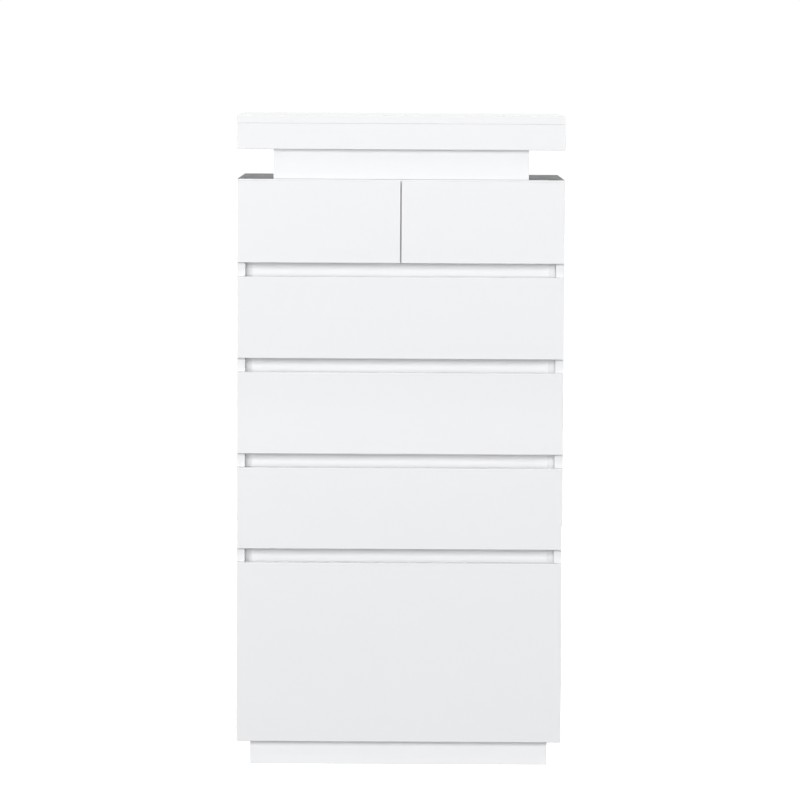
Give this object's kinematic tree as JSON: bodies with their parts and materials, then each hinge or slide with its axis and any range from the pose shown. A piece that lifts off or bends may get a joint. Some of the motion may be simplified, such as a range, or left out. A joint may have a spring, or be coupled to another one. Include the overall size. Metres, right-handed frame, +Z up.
{
  "type": "tall chest of drawers",
  "caption": "Tall handle-less white chest of drawers on a recessed plinth, with sliding drawers, recessed finger grooves and a thick top slab floating on a neck.",
  "frame": {"origin": "on the floor under the middle of the chest's overall box", "axes": "+X to the right as seen from the front, +Y to the back wall, +Z up; the drawers open towards -Y"},
  "size_m": [0.6, 0.4, 1.2],
  "materials": {
    "white_lacquer": "gloss white lacquer on fibreboard",
    "top_panel_grey": "satin grey face with a white front edge",
    "white_melamine": "satin white melamine on particleboard",
    "drawer_base": "white-faced hardboard with a light linen print",
    "hardboard": "bare brown hardboard",
    "beech": "fluted beech dowel",
    "zinc_steel": "bright zinc-plated folded steel",
    "white_plastic": "satin moulded white plastic",
    "clear_bumper": "clear soft polyurethane",
    "black_nylon": "matt black moulded nylon"
  },
  "bodies": {
    "case": {"left_side_panel": "white_lacquer", "right_side_panel": "white_lacquer", "case_top_panel": "top_panel_grey", "case_bottom_panel": "white_melamine", "back_panel": "hardboard", "back_panel_pins": "zinc_steel", "wall_rail": "white_melamine", "centre_partition": "white_melamine", "fixed_shelf": "white_melamine", "finger_rail_1": "white_lacquer", "finger_rail_2": "white_lacquer", "finger_rail_3": "white_lacquer", "finger_rail_4": "white_lacquer", "plinth_front": "white_lacquer", "plinth_back": "white_lacquer", "plinth_left": "white_lacquer", "plinth_right": "white_lacquer", "neck_front": "white_lacquer", "neck_back": "white_lacquer", "neck_left": "white_lacquer", "neck_right": "white_lacquer", "slab_front_rail": "white_lacquer", "slab_back_rail": "white_lacquer", "slab_left_rail": "white_lacquer", "slab_right_rail": "white_lacquer", "slab_underside": "white_lacquer", "top_board": "white_lacquer", "case_dowels": "beech", "fixed_runners": "zinc_steel"},
    "bottom_drawer": {"bottom_drawer_front": "white_lacquer", "bottom_drawer_sides": "white_melamine", "bottom_drawer_back": "white_melamine", "bottom_drawer_bottom": "drawer_base", "bottom_drawer_runners": "zinc_steel"},
    "lower_drawer": {"lower_drawer_front": "white_lacquer", "lower_drawer_sides": "white_melamine", "lower_drawer_back": "white_melamine", "lower_drawer_bottom": "drawer_base", "lower_drawer_runners": "zinc_steel"},
    "middle_drawer": {"middle_drawer_front": "white_lacquer", "middle_drawer_sides": "white_melamine", "middle_drawer_back": "white_melamine", "middle_drawer_bottom": "drawer_base", "middle_drawer_runners": "zinc_steel"},
    "upper_drawer": {"upper_drawer_front": "white_lacquer", "upper_drawer_sides": "white_melamine", "upper_drawer_back": "white_melamine", "upper_drawer_bottom": "drawer_base", "upper_drawer_runners": "zinc_steel"},
    "top_right_drawer": {"top_right_drawer_front": "white_lacquer", "top_right_drawer_sides": "white_melamine", "top_right_drawer_back": "white_melamine", "top_right_drawer_bottom": "drawer_base", "top_right_drawer_runners": "zinc_steel"},
    "top_left_drawer": {"top_left_drawer_front": "white_lacquer", "top_left_drawer_sides": "white_melamine", "top_left_drawer_back": "white_melamine", "top_left_drawer_bottom": "drawer_base", "top_left_drawer_runners": "zinc_steel"}
  },
  "joints": [
    {"name": "bottom_drawer_slide", "type": "slide", "parent": "case", "child": "bottom_drawer", "axis": [0, -1, 0], "range_m": [0, 0.26]},
    {"name": "lower_drawer_slide", "type": "slide", "parent": "case", "child": "lower_drawer", "axis": [0, -1, 0], "range_m": [0, 0.26]},
    {"name": "middle_drawer_slide", "type": "slide", "parent": "case", "child": "middle_drawer", "axis": [0, -1, 0], "range_m": [0, 0.26]},
    {"name": "upper_drawer_slide", "type": "slide", "parent": "case", "child": "upper_drawer", "axis": [0, -1, 0], "range_m": [0, 0.26]},
    {"name": "top_right_drawer_slide", "type": "slide", "parent": "case", "child": "top_right_drawer", "axis": [0, -1, 0], "range_m": [0, 0.26]},
    {"name": "top_left_drawer_slide", "type": "slide", "parent": "case", "child": "top_left_drawer", "axis": [0, -1, 0], "range_m": [0, 0.26]}
  ]
}
